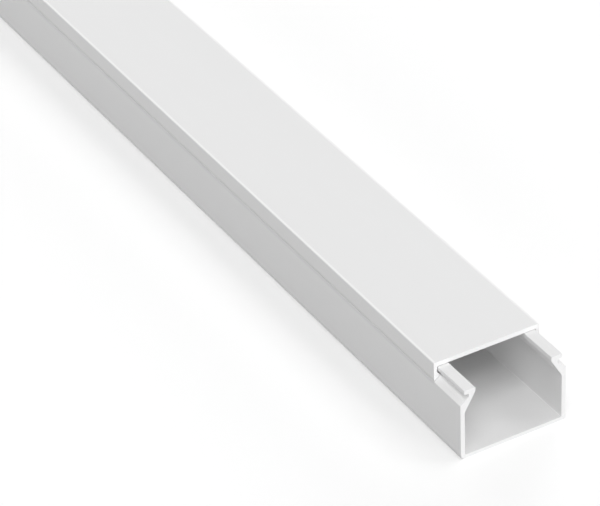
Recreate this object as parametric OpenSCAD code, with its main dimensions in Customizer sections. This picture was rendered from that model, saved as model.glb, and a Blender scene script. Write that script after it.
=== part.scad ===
// Mini-trunking for cables: an open channel and the lid that snaps onto its hooked lips.
// The section lies in X and Z, centred on X = 0 with its back on Z = 0. The length runs along Y, front end at -Y.

/* [Stock] */
// Length of both extrusions
stock_length = 1000; // [300:50:3000]
// How far the lid is slid back from the front end of the base
lid_setback = 9.7; // [0:0.1:200]

/* [Base] */
// Width over the side walls
base_width = 25; // [16:0.5:60]
// Height of the base, from its back to the tops of its hooks
base_height = 16.65; // [12:0.05:40]
// Thickness of the side walls, and of the lips where they are thinnest
wall = 1; // [0.8:0.05:1.5]
// Thickness of the floor
floor_thickness = 0.85; // [0.7:0.05:2]

/* [Lips] */
// Lean of the shoulder, where the outer face turns inwards, from upright in degrees
shoulder_lean = 52; // [45:1:60]
// Lean of the lip's inner face from upright, in degrees
lip_lean = 30; // [24:1:36]
// Height of the groove between the shoulder and the hook
groove_height = 0.9; // [0.7:0.05:1.5]
// How far the hook reaches outwards over the groove
hook_reach = 1.1; // [0.8:0.05:1.4]
// Thickness of the hook
hook_thickness = 1; // [0.7:0.05:1.3]

/* [Lid] */
// Thickness of the lid's plate
lid_thickness = 1; // [0.7:0.05:1.5]
// Thickness of the lid's legs
leg_thickness = 0.75; // [0.6:0.05:1]
// How far the barb reaches inwards from the leg
barb_reach = 0.65; // [0.4:0.05:0.8]

/* [Fits] */
// Clearance between the lid and the faces of the base that it seats on
seat_gap = 0.15; // [0.05:0.01:0.2]
// Clearance between the tip of the hook and the leg beside it
hook_gap = 0.15; // [0.1:0.01:0.3]

/* [Edges] */
// Outer radius of the base's two long bottom edges
bottom_radius = 1; // [0.3:0.05:1.2]
// Radius of the bend on the inner face of the wall
bend_radius = 1.5; // [0.5:0.1:3]
// Radius of the other inside corners
inside_radius = 0.3; // [0.1:0.05:0.4]
// Radius of the lid's long top edges and of the lips' inner top edges
top_radius = 0.2; // [0.1:0.05:0.5]
// Radius of the hook's tip and of the barb
edge_radius = 0.2; // [0.05:0.01:0.25]

/* [Hidden] */
// Length of one facet on a rounded corner
arc_chord = 0.12;

half_width = base_width / 2;
crease_radius = edge_radius / 2;

// Depths are measured inwards from the outer face of the wall.
hook_tip_depth = leg_thickness + hook_gap;
groove_depth = hook_tip_depth + hook_reach;
hook_inner_depth = groove_depth + wall + groove_height * tan(lip_lean);
barb_depth = leg_thickness + barb_reach;

lid_under_z = base_height + seat_gap;
closed_height = lid_under_z + lid_thickness;
hook_under_z = base_height - hook_thickness;
groove_foot_z = hook_under_z - groove_height;
shoulder_z = groove_foot_z - shoulder_rise(groove_depth);
bend_z = groove_foot_z - groove_depth / tan(lip_lean);
toe_z = shoulder_z + seat_gap / sin(shoulder_lean);
barb_tip_z = toe_z + shoulder_rise(barb_depth);
barb_top_z = hook_under_z - seat_gap;

// Height that the shoulder has gained at a depth
function shoulder_rise(depth) = depth / tan(shoulder_lean);

function unit(v) = v / norm(v);

function turned(v, angle) = [v.x * cos(angle) - v.y * sin(angle), v.x * sin(angle) + v.y * cos(angle)];

// Points of the arc of radius r that rounds corner p between its neighbours a and b
function corner_arc(a, p, b, r) =
    let (
        u = unit(a - p),
        v = unit(b - p),
        half_angle = acos(u * v) / 2,
        centre = p + unit(u + v) * r / sin(half_angle),
        first = p + u * r / tan(half_angle) - centre,
        sweep = (180 - 2 * half_angle) * sign(cross(v, u)),
        steps = ceil(abs(sweep) * PI / 180 * r / arc_chord)
    )
    [for (i = [0:steps]) centre + turned(first, sweep * i / steps)];

// Outline through corners given as [x, z, radius]
function rounded(corners) =
    let (count = len(corners), points = [for (c = corners) [c.x, c.y]])
    [
        for (i = [0:count - 1], q = corner_arc(
            points[(i + count - 1) % count], points[i], points[(i + 1) % count], corners[i].z
        )) q
    ];

// A half outline on the +X side, closed by its mirror image
function both_sides(half) =
    concat(half, [for (i = [len(half) - 1:-1:0]) [-half[i].x, half[i].y, half[i].z]]);

// A corner at a depth inwards from the outer face of the wall
function corner(depth, z, radius) = [half_width - depth, z, radius];

module extrusion(half) {
    rotate([90, 0, 0])
        linear_extrude(stock_length, center = true)
            polygon(rounded(both_sides(half)));
}

// Open channel: floor, walls, leaning lips and the hooks that the lid snaps under
module base() {
    color("whitesmoke")
        extrusion([
            corner(0, 0, bottom_radius),
            corner(0, shoulder_z, crease_radius),
            corner(groove_depth, groove_foot_z, inside_radius),
            corner(groove_depth, hook_under_z, inside_radius),
            corner(hook_tip_depth, hook_under_z, edge_radius),
            corner(hook_tip_depth, base_height, edge_radius),
            corner(hook_inner_depth, base_height, top_radius),
            corner(hook_inner_depth, hook_under_z, edge_radius),
            corner(wall, bend_z, bend_radius),
            corner(wall, floor_thickness, inside_radius),
        ]);
}

// Cover: a plate with a barbed leg down each side, flush with the walls and seated on the shoulders
module lid() {
    color("white")
        translate([0, lid_setback, 0])
            extrusion([
                corner(leg_thickness, lid_under_z, inside_radius),
                corner(leg_thickness, barb_top_z, edge_radius),
                corner(barb_depth, barb_tip_z, edge_radius),
                corner(0, toe_z, crease_radius),
                corner(0, closed_height, top_radius),
            ]);
}

base();
lid();
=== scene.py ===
"""Studio scene of a length of white PVC mini-trunking, with its lid slid back from the front end."""
import math

import bpy
from mathutils import Matrix, Vector


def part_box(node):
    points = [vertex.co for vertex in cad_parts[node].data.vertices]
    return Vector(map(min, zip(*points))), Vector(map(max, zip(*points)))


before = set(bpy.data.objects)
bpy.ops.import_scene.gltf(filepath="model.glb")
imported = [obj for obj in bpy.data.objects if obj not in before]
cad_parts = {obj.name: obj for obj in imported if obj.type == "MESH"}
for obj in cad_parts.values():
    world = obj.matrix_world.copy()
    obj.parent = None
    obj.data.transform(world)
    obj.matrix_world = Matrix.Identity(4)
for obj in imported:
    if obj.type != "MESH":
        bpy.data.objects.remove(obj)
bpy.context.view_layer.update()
base_low, base_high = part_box("base")
lid_low, lid_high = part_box("lid")

MM = 0.001
HALF_WIDTH = base_high.x

# Camera, from the photograph: a long lens from the front left, looking down along the length.
# It is aimed at a point on the floor, left of the middle and behind the front end. Angles are in degrees.
CAMERA_AIM = Vector((-2.5 * MM, base_low.y + 80.6 * MM, base_low.z))
CAMERA_AZIMUTH = -28.9
CAMERA_ELEVATION = 34.31
CAMERA_ROLL = -2.49
CAMERA_DISTANCE = 730.7 * MM
CAMERA_LENS = 201.66
CAMERA_SENSOR = 36.0
CAMERA_CLIP = (0.05, 200.0)

# Light: an even surround and soft lamps. A level of 1 renders a colour as it is written.
SURROUND_LEVEL = 0.215
LAMPS = [
    # name, azimuth (0 is the front, 90 the right) and elevation in degrees, level, width in degrees
    ("front_strip", 0, 4, 0.235, 8),
    ("front_left_strip", -30, 5, 0.215, 20),
    ("front_right_lamp", 12, 30, 0.09, 12),
    ("high_front_right_lamp", 25, 50, 0.045, 12),
    ("high_front_left_lamp", -25, 50, 0.13, 12),
    ("high_right_lamp", 60, 50, 0.06, 12),
    ("top_front_left_softbox", -45, 65, 0.225, 25),
    ("top_right_softbox", 90, 65, 0.14, 25),
    ("left_strip", -90, 15, 0.115, 25),
    ("back_right_strip", 135, 15, 0.24, 25),
    ("back_strip", 180, 15, 0.07, 25),
]

# Floor: how much of its white keeps the shadow, how much is there without light, and what scatters back
FLOOR_HALF_SIZE = 40.0
FLOOR_DROP = 0.02 * MM
FLOOR_SHADED = 0.9
FLOOR_EVEN = 0.192
FLOOR_BOUNCE = 0.4

# Drawn faces of the extrusions: die lines 0.3 mm apart that run for decimetres, and clouds in tone and sheen
PVC_TONES = (0.845, 0.875)
PVC_ROUGHNESS = (0.36, 0.46)
PVC_IOR = 1.53
DIE_LINES = {"per_metre": (3200.0, 3.0, 3200.0), "detail": 3.0, "roughness": 0.5}
DIE_LINE_RELIEF = 0.25
CLOUDS = {"per_metre": (60.0, 9.0, 60.0), "detail": 4.0, "roughness": 0.6}
CLOUDS_IN_SHEEN = 0.5

# Sawn ends: slanting strokes 0.15 mm apart on a grainy face, tilted in radians. Their tones are paler as a
# cut face is, and raised further as painted light on the front-lit ends
SAWN_AND_PAINTED_LIGHT_TONES = (0.92, 0.97)
CUT_ROUGHNESS = (0.62, 0.75)
STROKES = {"per_metre": (700.0, 1.0, 6500.0), "detail": 3.0, "roughness": 0.65, "tilt": 0.45}
END_FACING = 0.7

# Relief of the die lines and the strokes
RELIEF_STRENGTH = 0.25
RELIEF_HEIGHT = 0.02 * MM

# Each extrusion has die lines and clouds of its own, from another place in the same pattern
PATTERN_SHIFTS = {"base": (0.0, 0.0, 0.0), "lid": (0.37, 0.21, 0.53)}

# Soft shade on the outer faces, along the seam between the lid's legs and the base's walls
SEAM_TONE = 0.775
SEAM_HEIGHT = lid_low.z - 0.23 * MM
SEAM_HALF_WIDTH = 1.0 * MM
SEAM_OUTSIDE = HALF_WIDTH - 0.4 * MM

# Painted light: the base's shoulders get a paler tone, as if more lit, told by their lean from upright in
# degrees
SHOULDER_PAINTED_LIGHT_TONE = 0.97
SHOULDER_LEAN = 52.0
SHOULDER_TOLERANCE = 0.05

# Painted highlight: a paler line along the lid's long top edges
EDGE_HIGHLIGHT_TONE = 0.95
EDGE_OUTSIDE = HALF_WIDTH - 0.5 * MM
EDGE_LOWEST = lid_high.z - 0.18 * MM


def grey(tone):
    return (tone, tone, tone, 1.0)


def toward(azimuth, elevation):
    """Unit vector from the object towards an azimuth and elevation in degrees."""
    around, up = math.radians(azimuth), math.radians(elevation)
    return Vector((math.sin(around) * math.cos(up), -math.cos(around) * math.cos(up), math.sin(up)))


class Nodes:
    """Adds nodes to an emptied tree and links them, each socket given by name or number."""

    def __init__(self, tree):
        self.tree = tree
        tree.nodes.clear()

    def fill(self, socket, value):
        if isinstance(value, bpy.types.NodeSocket):
            self.tree.links.new(value, socket)
        else:
            socket.default_value = value

    def add(self, kind, inputs, **settings):
        node = self.tree.nodes.new(kind)
        for key, value in settings.items():
            setattr(node, key, value)
        for key, value in inputs.items():
            self.fill(node.inputs[key], value)
        return node.outputs

    def mix(self, data_type, factor, low, high):
        """Mix node, where the sockets of every type share their names."""
        node = self.tree.nodes.new("ShaderNodeMix")
        node.data_type = data_type
        sockets = {socket.name: socket for socket in node.inputs if socket.enabled}
        for key, value in (("Factor", factor), ("A", low), ("B", high)):
            self.fill(sockets[key], value)
        return next(socket for socket in node.outputs if socket.enabled)

    def math(self, operation, *values):
        return self.add("ShaderNodeMath", dict(enumerate(values)), operation=operation)[0]

    def axes(self, vector):
        return self.add("ShaderNodeSeparateXYZ", {"Vector": vector})

    def facing(self):
        """Parts of the direction that the face looks in."""
        return self.axes(self.add("ShaderNodeNewGeometry", {})["True Normal"])

    def noise(self, vector, per_metre, detail, roughness, tilt=0.0):
        """Noise with its own number of spots per metre along each axis."""
        place = {"Vector": vector, "Scale": per_metre, "Rotation": (0.0, tilt, 0.0)}
        stretched = self.add("ShaderNodeMapping", place)[0]
        inputs = {"Vector": stretched, "Scale": 1.0, "Detail": detail, "Roughness": roughness}
        return self.add("ShaderNodeTexNoise", inputs)["Fac"]

    def between(self, factor, low, high):
        return self.add("ShaderNodeMapRange", {"Value": factor, "To Min": low, "To Max": high})[0]

    def seen(self):
        """1 for rays from the camera, straight, mirrored or through glass, and 0 for light that scatters."""
        path = self.add("ShaderNodeLightPath", {})
        mirrored = self.math("MAXIMUM", path["Is Glossy Ray"], path["Is Transmission Ray"])
        return self.math("MAXIMUM", path["Is Camera Ray"], mirrored)


def seam_shade(n, at):
    """1 in the middle of the seam, on the outer faces and as far as the lid reaches, and 0 away from it."""
    across, along, up = n.axes(at)
    away = n.math("ABSOLUTE", n.math("SUBTRACT", up, SEAM_HEIGHT))
    fade = {"Value": away, "From Max": SEAM_HALF_WIDTH, "To Min": 1.0, "To Max": 0.0}
    near = n.add("ShaderNodeMapRange", fade, interpolation_type="SMOOTHSTEP")[0]
    outside = n.math("GREATER_THAN", n.math("ABSOLUTE", across), SEAM_OUTSIDE)
    covered = n.math("GREATER_THAN", along, lid_low.y)
    return n.math("MULTIPLY", near, n.math("MULTIPLY", outside, covered))


def painted_edge_highlight(n, at):
    """1 along the lid's long top edges, where a highlight is painted, and 0 away from them."""
    across, _, up = n.axes(at)
    outside = n.math("GREATER_THAN", n.math("ABSOLUTE", across), EDGE_OUTSIDE)
    return n.math("MULTIPLY", outside, n.math("GREATER_THAN", up, EDGE_LOWEST))


def shoulder_face(n):
    """1 where the face looks up as far as a leaning shoulder does, and 0 elsewhere."""
    upward = math.sin(math.radians(SHOULDER_LEAN))
    return n.math("COMPARE", n.facing()["Z"], upward, SHOULDER_TOLERANCE)


def end_face(n):
    """1 where the face looks along the length, and 0 elsewhere."""
    return n.math("GREATER_THAN", n.math("ABSOLUTE", n.facing()["Y"]), END_FACING)


def pvc(name, shift):
    """Satin white PVC: faint die lines along the length, rougher saw-cut ends that are paler partly as a cut
    face is and partly as painted light, painted shade along the seam, painted light on the shoulders and a
    painted highlight along the lid's top edges.
    """
    material = bpy.data.materials.new(name)
    material.use_nodes = True
    n = Nodes(material.node_tree)
    at = n.add("ShaderNodeTexCoord", {})["Object"]
    place = n.add("ShaderNodeVectorMath", {0: at, 1: shift}, operation="ADD")[0]

    die_lines = n.noise(place, **DIE_LINES)
    clouds = n.noise(place, **CLOUDS)
    drawn_tone = n.mix("RGBA", clouds, grey(PVC_TONES[0]), grey(PVC_TONES[1]))
    # Painted light: shoulders paler, as if more lit
    drawn_tone = n.mix("RGBA", shoulder_face(n), drawn_tone, grey(SHOULDER_PAINTED_LIGHT_TONE))
    drawn_tone = n.mix("RGBA", seam_shade(n, at), drawn_tone, grey(SEAM_TONE))
    # Painted highlight along the lid's long top edges
    drawn_tone = n.mix("RGBA", painted_edge_highlight(n, at), drawn_tone, grey(EDGE_HIGHLIGHT_TONE))
    sheen = n.mix("FLOAT", CLOUDS_IN_SHEEN, die_lines, clouds)
    drawn_roughness = n.between(sheen, *PVC_ROUGHNESS)
    drawn_relief = n.math("MULTIPLY", die_lines, DIE_LINE_RELIEF)

    strokes = n.noise(place, **STROKES)
    # Sawn ends paler as a cut face is, and paler still as painted light
    sawn_and_painted_light_tone = n.mix("RGBA", strokes, grey(SAWN_AND_PAINTED_LIGHT_TONES[0]), grey(SAWN_AND_PAINTED_LIGHT_TONES[1]))
    sawn_roughness = n.between(strokes, *CUT_ROUGHNESS)

    sawn = end_face(n)
    height = n.mix("FLOAT", sawn, drawn_relief, strokes)
    relief = {"Height": height, "Strength": RELIEF_STRENGTH, "Distance": RELIEF_HEIGHT}
    surface = n.add("ShaderNodeBsdfPrincipled", {
        "Base Color": n.mix("RGBA", sawn, drawn_tone, sawn_and_painted_light_tone),
        "Roughness": n.mix("FLOAT", sawn, drawn_roughness, sawn_roughness),
        "Normal": n.add("ShaderNodeBump", relief)[0],
        "IOR": PVC_IOR,
    })[0]
    n.add("ShaderNodeOutputMaterial", {"Surface": surface})
    return material


def floor_finish():
    """White floor that keeps the object's shadow."""
    material = bpy.data.materials.new("studio_floor")
    material.use_nodes = True
    n = Nodes(material.node_tree)
    shaded = n.add("ShaderNodeBsdfDiffuse", {"Color": grey(FLOOR_SHADED)})[0]
    even = n.add("ShaderNodeEmission", {"Strength": FLOOR_EVEN})[0]
    white = n.add("ShaderNodeAddShader", {0: shaded, 1: even})[0]
    bounce = n.add("ShaderNodeBsdfDiffuse", {"Color": grey(FLOOR_BOUNCE)})[0]
    surface = n.add("ShaderNodeMixShader", {0: n.seen(), 1: bounce, 2: white})[0]
    n.add("ShaderNodeOutputMaterial", {"Surface": surface})
    return material


def make_floor():
    h = FLOOR_HALF_SIZE
    mesh = bpy.data.meshes.new("floor")
    mesh.from_pydata([(-h, -h, 0.0), (h, -h, 0.0), (h, h, 0.0), (-h, h, 0.0)], [], [(0, 1, 2, 3)])
    mesh.materials.append(floor_finish())
    floor = bpy.data.objects.new("floor", mesh)
    floor.location.z = base_low.z - FLOOR_DROP
    bpy.context.scene.collection.objects.link(floor)


def make_world():
    """White to look at, and a dim even surround as light."""
    world = bpy.data.worlds.new("studio")
    world.use_nodes = True
    n = Nodes(world.node_tree)
    surround = n.add("ShaderNodeBackground", {"Color": grey(1.0), "Strength": SURROUND_LEVEL})[0]
    white = n.add("ShaderNodeBackground", {"Color": grey(1.0), "Strength": 1.0})[0]
    surface = n.add("ShaderNodeMixShader", {0: n.seen(), 1: surround, 2: white})[0]
    n.add("ShaderNodeOutputWorld", {"Surface": surface})
    bpy.context.scene.world = world


def make_lamps():
    """Lamps that light the object but don't show in its gloss, which mirrors the white surround."""
    for name, azimuth, elevation, level, width in LAMPS:
        light = bpy.data.lights.new(name, "SUN")
        light.energy = level * math.pi
        light.angle = math.radians(width)
        lamp = bpy.data.objects.new(name, light)
        lamp.rotation_euler = toward(azimuth, elevation).to_track_quat("Z", "Y").to_euler()
        lamp.visible_glossy = False
        bpy.context.scene.collection.objects.link(lamp)


def make_camera():
    back = toward(CAMERA_AZIMUTH, CAMERA_ELEVATION)
    right = toward(CAMERA_AZIMUTH + 90.0, 0.0)
    level_turn = Matrix((right, back.cross(right), back)).transposed()
    turn = level_turn @ Matrix.Rotation(math.radians(CAMERA_ROLL), 3, "Z")
    data = bpy.data.cameras.new("camera")
    data.sensor_fit = "HORIZONTAL"
    data.sensor_width = CAMERA_SENSOR
    data.lens = CAMERA_LENS
    data.clip_start, data.clip_end = CAMERA_CLIP
    camera = bpy.data.objects.new("camera", data)
    camera.matrix_world = Matrix.Translation(CAMERA_AIM + back * CAMERA_DISTANCE) @ turn.to_4x4()
    bpy.context.scene.collection.objects.link(camera)
    bpy.context.scene.camera = camera


def dress(node, material):
    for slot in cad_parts[node].material_slots:
        slot.material = material


for node, shift in PATTERN_SHIFTS.items():
    dress(node, pvc(f"{node}_white_pvc", shift))
make_floor()
make_world()
make_lamps()
make_camera()
bpy.context.scene.view_settings.view_transform = "Standard"
